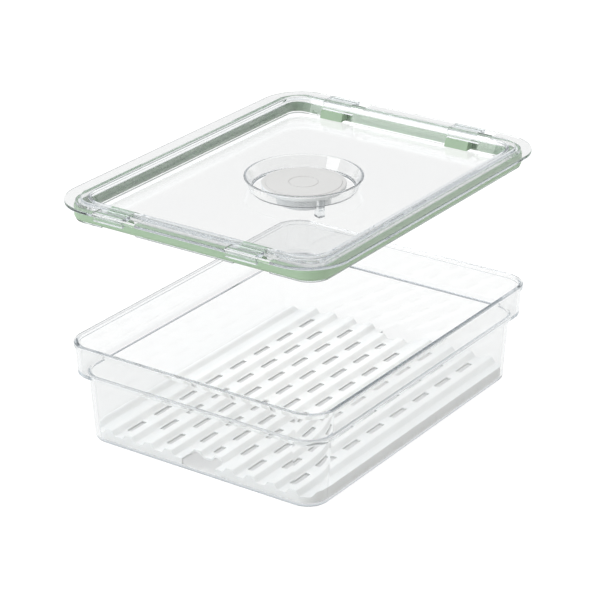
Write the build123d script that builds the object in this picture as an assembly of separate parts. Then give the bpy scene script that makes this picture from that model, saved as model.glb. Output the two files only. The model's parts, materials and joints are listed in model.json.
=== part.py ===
"""Clear food storage bin with a drain tray and a gasketed lid that carries a turning vent.

Millimetres. The bin stands on z = 0 with the origin under its middle. X runs across the
short side, Y along the long side and +Z up. The lid hangs in the air straight above its
seat, as when it is lifted off, and lowers by lid_lift to close the bin.
"""
import os

from build123d import *

# Bin
rim_width = 192.0
rim_length = 249.8
bin_height = 67.2
rim_radius = 18.0
bead_width = 1.0
bead_height = 3.0
bin_wall = 2.2
bin_floor = 2.2
collar_height = 21.6
collar_draft = 0.9
ledge_step = 4.5
ledge_slope = 1.0
lower_draft = 2.7
base_radius = 14.6
base_round = 3.0
ledge_round = 1.4
rim_round = 0.8

# Drain tray
tray_height = 7.6
tray_wall = 1.5
tray_clearance = 0.5
groove_count = 11
groove_pitch = 15.5
groove_depth = 3.2
groove_floor = 6.0
ridge_top = 4.5
groove_round = 1.0
slot_count = 8
slot_pitch = 26.9
slot_length = 16.0
slot_width = 4.4
notch_width = 25.4
notch_depth = 9.5
notch_radius = 3.0
notch_land = 8.0
foot_radius = 2.4

# Lid
lid_lift = 92.0
seat_gap = 0.1
flange_overhang = 4.6
flange_radius = 28.8
flange_thickness = 2.0
flange_round = 0.6
land_inset = 10.0
land_height = 1.2
recess_inset = 15.5
recess_radius = 16.0
recess_depth = 10.0
recess_draft = 3.5
recess_round = 1.6
lid_wall = 2.0
skirt_wall = 1.8
skirt_depth = 10.2
shoulder_width = 1.5
shoulder_depth = 2.2
lip_width = 1.7
lip_thickness = 1.2
relief_length = 98.0
relief_width = 2.2
relief_depth = 0.5

# Gasket
gasket_thickness = 2.6
gasket_clearance = 0.35
gasket_lead = 1.2
gasket_crown = 0.4
tab_width = 17.0
tab_proud = 0.4

# The four clip stations on the lid's short sides
station_offset = 48.6
window_length = 32.0
window_edge = 1.4
clip_length = 22.0
clip_proud = 0.4
clip_drop = 3.4
clip_finger = 2.2
clip_rim_gap = 0.5
wall_window_start = 2.0
wall_window_length = 24.0
lip_gap_length = 26.0

# Vent
cup_radius = 38.0
cup_base_radius = 34.2
cup_rim_drop = 2.2
cup_wall = 1.8
cup_spigot_radius = 32.7
cup_snap = 0.5
cup_snap_height = 0.8
cup_floor = 2.0
cup_rim_round = 0.8
fixed_fit = 0.05
running_gap = 0.3
shaft_gap = 0.06
spindle_radius = 3.0
vent_slots = 6
vent_slot_length = 8.0
vent_slot_width = 4.6
vent_slot_circle = 9.6
dial_radius = 26.8
dial_drop = 7.0
dial_thickness = 2.4
dial_round = 0.7
dial_skirt_radius = 23.6
dial_skirt_wall = 1.6
dial_port_width = 7.0
face_radius = 24.0
face_thickness = 0.6
face_proud = 0.2
face_ring_radius = 9.6
face_ring_width = 0.8
face_ring_depth = 0.3
shutter_radius = 14.6
shutter_thickness = 1.6
spring_clip_radius = 5.6
spring_clip_mouth = 3.6
spring_clip_thickness = 1.0
spindle_tail = 1.2
housing_radius = 19.0
housing_foot_radius = 16.4
housing_depth = 8.4
housing_wall = 1.4
latch_width = 4.4
latch_thickness = 2.6
latch_length = 12.0
latch_angle = -25.0
latch_hook = 2.5

# How far solids that are joined or cut reach into each other
overlap = 0.2
# How closely an edge or corner is matched when it is picked by its place
flat_tolerance = 0.01


def grow(outline, amount):
    """Offset a rounded rectangle, held as half width, half length and corner radius."""
    return tuple(value + amount for value in outline)


def between(low, high, share):
    """The outline part of the way from one outline to another."""
    return tuple(a + (b - a) * share for a, b in zip(low, high))


def face_at(outline, z):
    half_x, half_y, radius = outline
    return Pos(0, 0, z) * RectangleRounded(2 * half_x, 2 * half_y, radius)


def block(outline, low, high):
    return extrude(face_at(outline, low), high - low)


def taper(*sections):
    """A solid with straight walls through outlines given as (outline, z) pairs."""
    return loft([face_at(outline, z) for outline, z in sections], ruled=True)


def edges_level(solid, z):
    """Edges that lie flat at height z."""
    found = []
    for edge in solid.edges():
        box = edge.bounding_box()
        if abs(box.min.Z - z) < flat_tolerance and abs(box.max.Z - z) < flat_tolerance:
            found.append(edge)
    return found


def box_between(x0, x1, y0, y1, z0, z1):
    middle = Pos((x0 + x1) / 2, (y0 + y1) / 2, (z0 + z1) / 2)
    return middle * Box(x1 - x0, y1 - y0, z1 - z0)


def tube(outer, inner, low, high):
    ring = Circle(outer) - Circle(inner)
    return extrude(Pos(0, 0, low) * ring, high - low)


# Outlines of the bin, from its bead down to its base
rim_outline = (rim_width / 2, rim_length / 2, rim_radius)
collar_top = grow(rim_outline, -bead_width)
collar_bottom = grow(collar_top, -collar_draft)
lower_top = grow(collar_bottom, -ledge_step)[:2] + (base_radius + lower_draft,)
base_outline = grow(lower_top, -lower_draft)
ledge_z = bin_height - collar_height
wall_top_z = ledge_z - ledge_slope


def collar_inside(z):
    """Inside outline of the bin's collar at height z."""
    share = (z - ledge_z) / (bin_height - bead_height - ledge_z)
    return grow(between(collar_bottom, collar_top, share), -bin_wall)


def lower_inside(z):
    """Inside outline of the bin's lower wall at height z."""
    return grow(between(base_outline, lower_top, z / wall_top_z), -bin_wall)


# Outlines of the lid, whose own z = 0 is the underside of its flange
flange_half_x = rim_width / 2 + flange_overhang
flange_half_y = rim_length / 2 + flange_overhang
flange_outline = (flange_half_x, flange_half_y, flange_radius)
land_outline = grow(flange_outline, -land_inset)
recess_top = (flange_half_x - recess_inset, flange_half_y - recess_inset, recess_radius)
recess_bottom = grow(recess_top, -recess_draft)
land_top = flange_thickness + land_height
pane_top = flange_thickness - recess_depth
pane_bottom = pane_top - lid_wall
lip_top = lip_thickness - skirt_depth
gasket_outline = grow(collar_inside(bin_height + lip_top + gasket_lead), -gasket_clearance)
skirt_outline = grow(gasket_outline, -gasket_thickness)
lid_z = bin_height + seat_gap + lid_lift
gasket_top = -shoulder_depth - fixed_fit
cup_top = flange_thickness - cup_rim_drop
cup_floor_bottom = pane_bottom - cup_snap_height - 2 * fixed_fit
cup_floor_top = cup_floor_bottom + cup_floor
window_y = (flange_half_y - land_inset + fixed_fit, flange_half_y - window_edge)


def make_bin():
    shell = taper((base_outline, 0), (lower_top, wall_top_z), (collar_bottom, ledge_z),
                  (collar_top, bin_height - bead_height))
    shell += block(rim_outline, bin_height - bead_height, bin_height)
    shell = fillet(edges_level(shell, 0), base_round)
    shell = fillet(edges_level(shell, ledge_z), ledge_round)
    inner_ledge_z = ledge_z + bin_wall - ledge_slope
    cavity = taper((lower_inside(bin_floor), bin_floor), (lower_inside(wall_top_z), inner_ledge_z),
                   (collar_inside(ledge_z), inner_ledge_z + ledge_slope),
                   (collar_inside(bin_height), bin_height))
    cavity = chamfer(edges_level(cavity, bin_floor), base_round - bin_wall)
    shell -= cavity
    return fillet(edges_level(shell, bin_height), rim_round)


def wave_face(ridge_z, groove_z, low_z, half_width, ridge_half, groove_half, rounding):
    """The tray's corrugated section in XZ: flat ridges, flat groove floors, sloped sides."""
    points = [(-half_width, low_z), (-half_width, ridge_z)]
    bends = []
    for index in range(groove_count):
        x = (index - (groove_count - 1) / 2) * groove_pitch
        side = groove_pitch / 2 - ridge_half
        bends += [(x - side, ridge_z), (x - groove_half, groove_z),
                  (x + groove_half, groove_z), (x + side, ridge_z)]
    points += bends + [(half_width, ridge_z), (half_width, low_z)]
    profile = make_face(Polyline(*points, close=True))
    corners = [v for v in profile.vertices()
               if any(abs(v.X - x) < flat_tolerance and abs(v.Y - z) < flat_tolerance
                      for x, z in bends)]
    return fillet(corners, rounding)


def notch_blocks(half_y, depth):
    """Round-cornered blocks that reach into the tray from the middle of its two short ends."""
    plan = RectangleRounded(notch_width, 2 * depth, notch_radius)
    return Part() + [Pos(0, side * half_y, 0) * extrude(plan, tray_height + bin_floor) for side in (-1, 1)]


def tray_slots(half_y):
    """Drain slots: rows that are staggered from groove to groove, with none in the outer grooves."""
    slot = Box(slot_width, slot_length, 4 * tray_wall)
    wide = GridLocations(2 * groove_pitch, slot_pitch, groove_count // 2, slot_count)
    narrow = GridLocations(2 * groove_pitch, slot_pitch, groove_count // 2 - 1, slot_count - 1)
    slots = Part() + [cell * slot for cells in (wide, narrow) for cell in cells]
    return Pos(0, 0, bin_floor + tray_height - groove_depth) * slots - notch_blocks(half_y, notch_depth + notch_land)


def make_drain_tray():
    outline = grow(lower_inside(bin_floor), -tray_clearance)
    half_x, half_y, radius = outline
    top = bin_floor + tray_height
    groove_z = top - groove_depth
    far = rim_width
    above = wave_face(top, groove_z, 0, far, ridge_top / 2, groove_floor / 2, groove_round)
    below = wave_face(top - tray_wall, groove_z - tray_wall, 0, far,
                      ridge_top / 2 - tray_wall / 2, groove_floor / 2 + tray_wall / 2,
                      groove_round)
    section = Plane.XZ.offset(-rim_length)
    top_side = extrude(section * above, 2 * rim_length)
    under_side = extrude(section * below, 2 * rim_length)
    hollow = block(grow(outline, -tray_wall), bin_floor, top)
    outside = chamfer(edges_level(block(outline, bin_floor, top), bin_floor), base_round - bin_wall)
    tray = (outside & top_side) - (hollow & under_side)
    tray -= tray_slots(half_y) + notch_blocks(half_y, notch_depth)
    feet = [cell * Cylinder(foot_radius, groove_z - tray_wall - bin_floor + overlap,
                            align=(Align.CENTER, Align.CENTER, Align.MIN))
            for cell in GridLocations(4 * groove_pitch, 4 * slot_pitch, 2, 2)]
    return tray + Pos(0, 0, bin_floor) * (Part() + feet)


def recess_cavity(spare=0.0):
    """The dished space in the lid's top, or one that is spare wider all round."""
    draft = recess_draft / recess_depth
    over = grow(recess_top, draft * land_height + spare)
    return taper((grow(recess_bottom, spare), pane_top), (over, land_top))


def stations():
    """The x where each clip station's window starts, and the side of the lid it is on."""
    return [(x - window_length / 2, side) for side in (-1, 1) for x in (-station_offset, station_offset)]


def y_span(side, near, far):
    """Low and high y of a stretch that lies from near to far out on one side."""
    return (min(side * near, side * far), max(side * near, side * far))


def make_lid_panel():
    lid = block(flange_outline, 0, flange_thickness)
    lid = fillet(edges_level(lid, flange_thickness), flange_round)
    lid = chamfer(edges_level(lid, 0), flange_round)
    land = block(land_outline, flange_thickness / 2, land_top)
    lid += fillet(edges_level(land, land_top), flange_round)
    lid += taper((grow(recess_bottom, lid_wall), pane_bottom), (grow(recess_top, lid_wall), flange_round))
    lid -= fillet(edges_level(recess_cavity(), pane_top), recess_round)
    skirt_inside = grow(skirt_outline, -skirt_wall)
    skirt = block(skirt_outline, -skirt_depth, flange_round)
    skirt += block(grow(skirt_outline, shoulder_width), -shoulder_depth, flange_round)
    skirt += block(grow(skirt_outline, lip_width), -skirt_depth, lip_top)
    lid += skirt - block(skirt_inside, -skirt_depth, flange_round)
    lid -= Pos(0, 0, pane_bottom) * Cylinder(cup_spigot_radius + fixed_fit, 4 * lid_wall)
    for start, side in stations():
        lid -= box_between(start, start + window_length, *y_span(side, *window_y),
                           -flange_thickness, 2 * land_top)
        wall_start = start + wall_window_start
        lid -= box_between(wall_start, wall_start + wall_window_length,
                           *y_span(side, skirt_outline[1] - skirt_wall - overlap,
                                   recess_bottom[1] - lid_wall), pane_top, gasket_top + fixed_fit)
        lid -= box_between(wall_start - fixed_fit, wall_start + tab_width + fixed_fit,
                           *y_span(side, recess_top[1], skirt_outline[1] + fixed_fit),
                           pane_top, gasket_top + fixed_fit)
        lid -= box_between(start, start + lip_gap_length,
                           *y_span(side, skirt_outline[1], skirt_outline[1] + 2 * lip_width),
                           -skirt_depth - overlap, lip_top)
    for side in (-1, 1):
        inner = land_outline[0] - relief_width
        x0, x1 = y_span(side, inner, land_outline[0] + overlap)
        lid -= box_between(x0, x1, -relief_length / 2, relief_length / 2,
                           land_top - relief_depth, 2 * land_top)
    return lid


def make_lid_gasket():
    ends = grow(gasket_outline, -gasket_crown)
    lead = grow(gasket_outline, -gasket_lead / 2)
    band = taper((lead, lip_top), (gasket_outline, lip_top + gasket_lead),
                 (gasket_outline, gasket_top - gasket_lead), (ends, gasket_top))
    band -= block(skirt_outline, lip_top, gasket_top)
    trim = recess_cavity(-tab_proud)
    for start, side in stations():
        tab = box_between(start + wall_window_start, start + wall_window_start + tab_width,
                          *y_span(side, recess_bottom[1] - lid_wall, skirt_outline[1] + overlap),
                          pane_top, gasket_top)
        band += tab - trim
    return band


def make_lid_clip(start, side):
    """A clear clip that fills one end of a flange window and hangs outside the bin's rim."""
    plate = box_between(start, start + clip_length, *y_span(side, *window_y),
                        0, flange_thickness + clip_proud)
    near = rim_length / 2 + clip_rim_gap
    finger = box_between(start, start + clip_length, *y_span(side, near, near + clip_finger),
                         -clip_drop, flange_thickness)
    lead = [edge for edge in edges_level(finger, -clip_drop)
            if abs(edge.center().Y - side * near) < flat_tolerance]
    return plate + chamfer(lead, clip_finger / 3)


def make_vent_cup():
    run = (cup_radius - cup_base_radius) / (cup_top - pane_top)
    inner_base = cup_base_radius - cup_wall - run * (pane_top - cup_floor_top)
    profile = [
        (0, cup_floor_bottom), (cup_spigot_radius - cup_snap, cup_floor_bottom),
        (cup_spigot_radius + cup_snap, pane_bottom - cup_snap_height / 2),
        (cup_spigot_radius + cup_snap, pane_bottom), (cup_spigot_radius, pane_bottom),
        (cup_spigot_radius, pane_top), (cup_base_radius, pane_top), (cup_radius, cup_top),
        (cup_radius - cup_wall, cup_top), (inner_base, cup_floor_top), (0, cup_floor_top),
    ]
    cup = revolve(Plane.XZ * make_face(Polyline(*profile, close=True)), Axis.Z)
    cup = fillet(edges_level(cup, cup_top), cup_rim_round)
    cup -= Pos(0, 0, cup_floor_top) * Cylinder(spindle_radius + shaft_gap, 4 * cup_floor)
    return cup - vent_openings(cup_floor_bottom - overlap, cup_floor_top + overlap)


def vent_openings(low, high):
    """The ring of radial slots that line up through the cup's floor and the shutter."""
    slots = [place * Rectangle(vent_slot_length, vent_slot_width)
             for place in PolarLocations(vent_slot_circle, vent_slots)]
    return extrude(Pos(0, 0, low) * (Sketch() + slots), high - low)


def make_vent_dial():
    """The grey disc with its ported skirt and the spindle that goes down to the shutter."""
    top = flange_thickness - dial_drop
    under = top - dial_thickness
    disc = Pos(0, 0, under) * extrude(Circle(dial_radius), dial_thickness)
    disc = fillet(edges_level(disc, top), dial_round)
    disc = chamfer(edges_level(disc, under), dial_round)
    skirt = tube(dial_skirt_radius, dial_skirt_radius - dial_skirt_wall,
                 cup_floor_top + running_gap, under + dial_thickness / 2)
    for place in PolarLocations(dial_skirt_radius, vent_slots):
        skirt -= Pos(0, 0, cup_floor_top) * place * Box(
            4 * dial_skirt_wall, dial_port_width, 2 * (under - cup_floor_top))
    tail = shutter_bottom() - spring_clip_thickness - spindle_tail
    spindle = Pos(0, 0, tail) * extrude(Circle(spindle_radius), under - tail)
    pocket = extrude(Circle(face_radius + fixed_fit), face_thickness)
    pocket = Pos(0, 0, top - face_thickness + face_proud) * pocket
    return disc + skirt + spindle - pocket


def make_dial_face():
    """The pale inlay in the disc's top, with a plain ring pressed into it."""
    top = flange_thickness - dial_drop + face_proud
    face = Pos(0, 0, top - face_thickness) * extrude(Circle(face_radius), face_thickness)
    face = chamfer(edges_level(face, top), face_thickness / 3)
    return face - tube(face_ring_radius, face_ring_radius - face_ring_width,
                       top - face_ring_depth, top + overlap)


def shutter_bottom():
    return cup_floor_bottom - running_gap - shutter_thickness


def make_vent_shutter():
    shutter = tube(shutter_radius, spindle_radius + fixed_fit, shutter_bottom(),
                   cup_floor_bottom - running_gap)
    return shutter - vent_openings(shutter_bottom() - overlap, cup_floor_bottom)


def make_spindle_clip():
    top = shutter_bottom()
    ring = tube(spring_clip_radius, spindle_radius + fixed_fit, top - spring_clip_thickness, top)
    mouth = box_between(0, 2 * spring_clip_radius, -spring_clip_mouth / 2, spring_clip_mouth / 2,
                        top - 2 * spring_clip_thickness, top + overlap)
    return ring - mouth


def make_vent_housing():
    """The cage under the cup's floor that guards the shutter and lets the air through."""
    low = cup_floor_bottom - housing_depth
    profile = [
        (0, low), (housing_foot_radius, low), (housing_radius, cup_floor_bottom),
        (housing_radius - housing_wall, cup_floor_bottom),
        (housing_foot_radius - housing_wall, low + housing_wall), (0, low + housing_wall),
    ]
    housing = revolve(Plane.XZ * make_face(Polyline(*profile, close=True)), Axis.Z)
    return housing - vent_openings(low - overlap, low + 2 * housing_wall)


def make_vent_latch():
    """The finger beside the housing that locks it to the cup."""
    top = cup_floor_bottom
    reach = housing_radius + fixed_fit
    finger = box_between(reach, reach + latch_thickness, -latch_width / 2, latch_width / 2,
                         top - latch_length, top)
    hook_z = top - housing_depth
    hook = box_between(reach - latch_hook, reach + latch_thickness, -latch_width / 2,
                       latch_width / 2, top - latch_length, hook_z - fixed_fit)
    return Rot(0, 0, latch_angle) * (finger + hook)


def build_parts():
    raised = Pos(0, 0, lid_z)
    parts = {"bin": make_bin(), "drain_tray": make_drain_tray()}
    lid_parts = {"lid_panel": make_lid_panel(), "lid_gasket": make_lid_gasket(),
                 "vent_cup": make_vent_cup(), "vent_housing": make_vent_housing(),
                 "vent_latch": make_vent_latch(), "vent_dial": make_vent_dial(),
                 "dial_face": make_dial_face(), "vent_shutter": make_vent_shutter(),
                 "spindle_clip": make_spindle_clip()}
    for number, station in enumerate(stations(), start=1):
        lid_parts[f"lid_clip_{number}"] = make_lid_clip(*station)
    for name, piece in lid_parts.items():
        parts[name] = raised * piece
    return parts


os.makedirs("parts", exist_ok=True)
for node, piece in build_parts().items():
    export_step(piece, f"parts/{node}.step")
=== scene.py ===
"""Looks of a clear food storage bin with a drain tray and a gasketed lid that carries a turning vent.

Metres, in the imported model's frame: X across the short side, Y along the long side, +Z up.
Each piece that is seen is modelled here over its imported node, with the same walls and seats.
"""
import json
import math

import bmesh
import bpy
from bpy.props import FloatProperty, FloatVectorProperty, IntProperty, PointerProperty
from mathutils import Matrix, Vector


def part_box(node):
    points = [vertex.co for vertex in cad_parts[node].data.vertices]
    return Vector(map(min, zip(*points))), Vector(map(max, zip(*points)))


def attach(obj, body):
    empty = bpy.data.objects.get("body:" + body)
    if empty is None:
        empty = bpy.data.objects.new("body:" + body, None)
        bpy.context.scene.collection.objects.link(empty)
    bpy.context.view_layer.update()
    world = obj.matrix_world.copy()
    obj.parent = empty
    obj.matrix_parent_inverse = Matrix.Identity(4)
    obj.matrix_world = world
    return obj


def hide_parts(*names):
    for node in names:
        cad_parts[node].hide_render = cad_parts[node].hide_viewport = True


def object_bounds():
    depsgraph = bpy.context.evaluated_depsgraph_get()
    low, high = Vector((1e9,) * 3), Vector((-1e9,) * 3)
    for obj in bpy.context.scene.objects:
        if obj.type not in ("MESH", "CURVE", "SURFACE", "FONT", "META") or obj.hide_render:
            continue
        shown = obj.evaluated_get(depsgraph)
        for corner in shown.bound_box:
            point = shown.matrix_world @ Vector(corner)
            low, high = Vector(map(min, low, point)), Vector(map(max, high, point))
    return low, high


bl_info = {
    "name": "Food storage bin with a vented lid",
    "version": (1, 0, 0),
    "blender": (4, 5, 0),
    "location": "3D View > Sidebar > Storage bin",
    "description": "Adds a clear bin, its drain tray and its gasketed lid with a turning vent",
    "category": "Add Mesh",
}

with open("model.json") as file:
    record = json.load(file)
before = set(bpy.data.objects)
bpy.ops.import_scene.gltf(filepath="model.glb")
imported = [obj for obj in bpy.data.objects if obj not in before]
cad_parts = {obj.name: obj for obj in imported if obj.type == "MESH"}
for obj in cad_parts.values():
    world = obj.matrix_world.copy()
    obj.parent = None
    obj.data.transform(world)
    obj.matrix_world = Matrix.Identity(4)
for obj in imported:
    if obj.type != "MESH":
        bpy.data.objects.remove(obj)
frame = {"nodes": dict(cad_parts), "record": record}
CAD_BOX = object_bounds()
TINY = 1e-6
# Steps in a profile's rounding, in an outline's corner, in a slot's corner, in a full turn and up
# a groove's side
ARC_STEPS = 4
CORNER_STEPS = 14
SLOT_STEPS = 3
TURN_STEPS = 96
SLOPE_STEPS = 8
# A profile's rounding takes up to this share of the edges beside it
EDGE_SHARE = 0.48
# From ring to ring while a stack is being bridged
RING_STEP = 0.01
# From foot to foot of the tray, in grooves and in slots
FOOT_SPREAD = 4
# A moulded surface: scales of its grain and of its slow flow, roughness and how far that wanders
SURFACE_INPUTS = {"Grain scale": 900.0, "Flow scale": 22.0, "Roughness": 0.3, "Roughness spread": 0.1}
CLEAR_SURFACE = (600, 14, 0.012, 0.01)
TRAY_SURFACE = (2400, 30, 0.42, 0.12)
GASKET_SURFACE = (1800, 40, 0.5, 0.15)
VENT_SURFACE = (2600, 60, 0.38, 0.1)
INLAY_SURFACE = (4200, 90, 0.5, 0.08)
# Height of the grain against that of the flow
GRAIN_HEIGHT = 0.15
CLEAR_IOR = 1.52
# Reflections after which light counts as caught inside the clear plastic
TRAPPED_DEPTH = 1.5
# How slanted a clear face is seen before painted edge shade starts to grey it
GRAZING = 0.66
# Height over which the dial turns to the inlay's grey under its top: painted light, a darker lit top over a
# grey lightened for the shaded parts below
TOP_BAND = 0.0001
WHITE = (1, 1, 1)
# Height in the mirrored surroundings and how bright they are there, and their tint
SKY_BANDS = ((0.14, 1.0), (0.24, 0.55), (0.62, 0.42), (0.80, 1.0))
SKY_TINT = (1.0, 1.01, 1.03)
# Light that scatters, from the left and from the right, and how far to each side it changes
LEFT_FILL = (1.0, 1.02, 1.04)
RIGHT_FILL = (0.88, 0.86, 0.81)
FILL_REACH = 0.8


def number(name, description, default, **more):
    return FloatProperty(name=name, description=description, default=default, **more)


def length(name, description, default):
    return number(name, description, default, unit="LENGTH", precision=5)


def colour(name, description, default):
    return FloatVectorProperty(name=name, description=description, default=default, size=3,
                               subtype="COLOR", min=0, max=1)


class BinSizes(bpy.types.PropertyGroup):
    """Sizes of the clear bin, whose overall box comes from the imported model"""
    rim_radius: length("Rim radius", "Corner radius of the rim", 0.018)
    bead_width: length("Bead width", "How far the rim's bead stands out", 0.001)
    bead_height: length("Bead height", "Height of the rim's bead", 0.003)
    wall: length("Wall", "Thickness of the walls and the floor", 0.0022)
    collar_height: length("Collar height", "From the ledge up to the rim", 0.0216)
    collar_draft: length("Collar draft", "How much the collar narrows towards the ledge", 0.0009)
    ledge_step: length("Ledge step", "How far the wall steps in under the collar", 0.0045)
    ledge_slope: length("Ledge slope", "Height over which the ledge falls", 0.001)
    lower_draft: length("Lower draft", "How much the lower wall narrows towards the base", 0.0027)
    base_radius: length("Base radius", "Corner radius at the base", 0.0146)
    base_round: length("Base rounding", "Rounding between wall and base", 0.003)
    ledge_round: length("Ledge rounding", "Rounding of the collar's lower edge", 0.0014)
    rim_round: length("Rim rounding", "Rounding of the rim's top edges", 0.0008)


class TraySizes(bpy.types.PropertyGroup):
    """Sizes of the corrugated drain tray"""
    wall: length("Wall", "Thickness of the tray", 0.0015)
    grooves: IntProperty(name="Grooves", description="Number of grooves", default=11, min=1)
    groove_pitch: length("Groove pitch", "From groove to groove", 0.0155)
    groove_depth: length("Groove depth", "Depth of a groove below its ridges", 0.0032)
    slope_start: length("Slope start", "From a groove's middle to where its side starts to rise", 0.0025)
    slope_end: length("Slope end", "From a groove's middle to where its side reaches the ridge", 0.0057)
    slots: IntProperty(name="Slots", default=8, min=2,
                       description="Number of slots in a long row, one more than in a short row")
    slot_pitch: length("Slot pitch", "From slot to slot along a groove", 0.0269)
    slot_length: length("Slot length", "Length of a slot", 0.016)
    slot_width: length("Slot width", "Width of a slot", 0.0044)
    slot_round: length("Slot rounding", "Corner rounding of a slot", 0.0011)
    notch_width: length("Notch width", "Width of the finger notch in each short end", 0.0254)
    notch_depth: length("Notch depth", "How far the finger notch reaches in", 0.0095)
    notch_radius: length("Notch radius", "Corner radius of the finger notch", 0.003)
    notch_land: length("Notch land", "From a finger notch to the nearest slot", 0.008)
    foot_radius: length("Foot radius", "Radius of the feet under the grooves", 0.0024)
    edge_round: length("Edge rounding", "Rounding of the moulding's edges", 0.0003)


class LidSizes(bpy.types.PropertyGroup):
    """Sizes of the clear lid, its gasket and its clips"""
    flange_radius: length("Flange radius", "Corner radius of the flange", 0.0288)
    flange_thickness: length("Flange thickness", "Thickness of the flange", 0.002)
    flange_round: length("Flange rounding", "Rounding of the flange's edges", 0.0006)
    land_inset: length("Land inset", "From the flange's edge to the raised land", 0.010)
    land_height: length("Land height", "Height of the land above the flange", 0.0012)
    recess_inset: length("Recess inset", "From the flange's edge to the recess", 0.0155)
    recess_radius: length("Recess radius", "Corner radius at the recess's top", 0.016)
    recess_depth: length("Recess depth", "From the flange's top down to the pane", 0.010)
    recess_draft: length("Recess draft", "How much the recess narrows towards the pane", 0.0035)
    recess_round: length("Recess rounding", "Rounding between the recess's wall and the pane", 0.0016)
    wall: length("Wall", "Thickness of the pane and the recess's wall", 0.002)
    skirt_wall: length("Skirt wall", "Thickness of the hanging skirt", 0.0018)
    shoulder_width: length("Shoulder width", "How far the shoulder above the gasket stands out", 0.0015)
    shoulder_depth: length("Shoulder depth", "Depth of that shoulder", 0.0022)
    lip_width: length("Lip width", "How far the lip under the gasket stands out", 0.0017)
    relief_length: length("Relief length", "Length of the shallow step on each long side", 0.098)
    relief_width: length("Relief width", "Width of that step", 0.0022)
    relief_depth: length("Relief depth", "Depth of that step", 0.0005)
    window_length: length("Window length", "Length of a clip's window in the flange", 0.032)
    window_edge: length("Window edge", "From the window to the flange's edge", 0.0014)
    wall_window_start: length("Wall window start", "From the window's end to the window in the wall", 0.002)
    wall_window_length: length("Wall window length", "Length of the window in the recess's wall", 0.024)
    lip_gap_length: length("Lip gap length", "Length of the gap in the lip under a station", 0.026)
    gasket_thickness: length("Gasket thickness", "From the skirt to the gasket's face", 0.0026)
    gasket_lead: length("Gasket lead", "Height of the gasket's sloped lower edge", 0.0012)
    gasket_crown: length("Gasket crown", "How much the gasket narrows at its edges", 0.0004)
    tab_width: length("Tab width", "Width of the gasket's tab in a window", 0.017)
    tab_proud: length("Tab proud", "How far a tab stands out of the recess's wall", 0.0004)
    clip_round: length("Clip rounding", "Rounding of a clip's edges", 0.0003)
    clip_gap: length("Clip gap", "From the bin's rim to a clip's finger", 0.0005)
    fit: length("Fit", "Gap between pieces that seat on each other", 0.00005)


class VentSizes(bpy.types.PropertyGroup):
    """Sizes of the vent's cup, dial and housing"""
    cup_radius: length("Cup radius", "Radius of the cup at its rim", 0.0378)
    cup_base_radius: length("Cup base radius", "Radius of the cup where it meets the pane", 0.0342)
    cup_wall: length("Cup wall", "Thickness of the cup's wall", 0.0018)
    cup_rim_round: length("Cup rim rounding", "Rounding of the cup's rim", 0.000792)
    cup_floor: length("Cup floor", "Thickness of the cup's floor", 0.002)
    spigot_radius: length("Spigot radius", "Radius of the cup's neck in the pane's hole", 0.0327)
    snap: length("Snap", "How far the snap bead stands out under the pane", 0.0005)
    spindle_radius: length("Spindle radius", "Radius of the dial's spindle", 0.003)
    slots: IntProperty(name="Slots", description="Number of air slots", default=6, min=1)
    slot_length: length("Slot length", "Length of an air slot", 0.008)
    slot_width: length("Slot width", "Width of an air slot", 0.0046)
    slot_circle: length("Slot circle", "From the middle to an air slot's middle", 0.0096)
    disc_thickness: length("Disc thickness", "Thickness of the dial's disc", 0.0024)
    disc_round: length("Disc rounding", "Rounding of the disc's edge", 0.0007)
    skirt_radius: length("Dial skirt radius", "Radius of the dial's ported skirt", 0.0236)
    skirt_wall: length("Dial skirt wall", "Thickness of that skirt", 0.0016)
    running_gap: length("Running gap", "From the cup's floor to that skirt", 0.0003)
    port_width: length("Port width", "Width of a port in that skirt", 0.007)
    ring_radius: length("Ring radius", "Radius of the ring pressed into the inlay", 0.0096)
    ring_width: length("Ring width", "Width of that ring", 0.0008)
    ring_depth: length("Ring depth", "Depth of that ring", 0.0003)
    housing_foot: length("Housing foot radius", "Radius of the housing at its bottom", 0.0164)
    housing_wall: length("Housing wall", "Thickness of the housing", 0.0014)


class FinishColours(bpy.types.PropertyGroup):
    """Colours and clearness of the mouldings"""
    clear: colour("Clear plastic", "What a wall of the bin lets through", (0.902, 0.904, 0.902))
    # Painted edge shade: where a clear face is seen at a slant it is greyed to this colour, in place of the
    # dark edges that real clear plastic shows
    clear_edge_shade: colour("Clear plastic edge", "What it lets through where it is seen along its surface",
                       (0.77, 0.785, 0.795))
    pane: colour("Pane", "What a wall of the lid or cup lets through", (0.968, 0.968, 0.963))
    # Painted edge shade for the lid and for the cup, in the same way
    lid_edge_shade: colour("Lid edge", "The same for the lid", (0.62, 0.65, 0.675))
    cup_edge_shade: colour("Cup edge", "The same for the vent's cup", (0.80, 0.82, 0.835))
    shadow: colour("Clear plastic shadow", "What a face lets through from the lamps", (0.95, 0.96, 0.965))
    trapped: colour("Trapped light", "What is left of light that was caught inside",
                    (0.86, 0.867, 0.872))
    clear_depth: colour("Clear plastic depth", "Tint that builds up inside the clear plastic",
                        (0.62, 0.69, 0.74))
    clear_density: number("Clear density", "How fast that tint builds up, per metre", 22.0, min=0)
    clip: colour("Clips", "What a face of the clips lets through", (0.94, 0.955, 0.96))
    tray: colour("Tray", "White of the drain tray", (0.975, 0.983, 0.99))
    gasket: colour("Gasket", "Sage of the gasket", (0.35, 0.485, 0.34))
    # Painted light: lighter than the dial's own grey, to make up for the shade on the hub and housing under
    # the disc
    vent: colour("Vent", "Grey of the dial and housing", (0.85, 0.87, 0.89))
    inlay: colour("Inlay", "Grey of the dial's inlay", (0.61, 0.61, 0.61))


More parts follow.
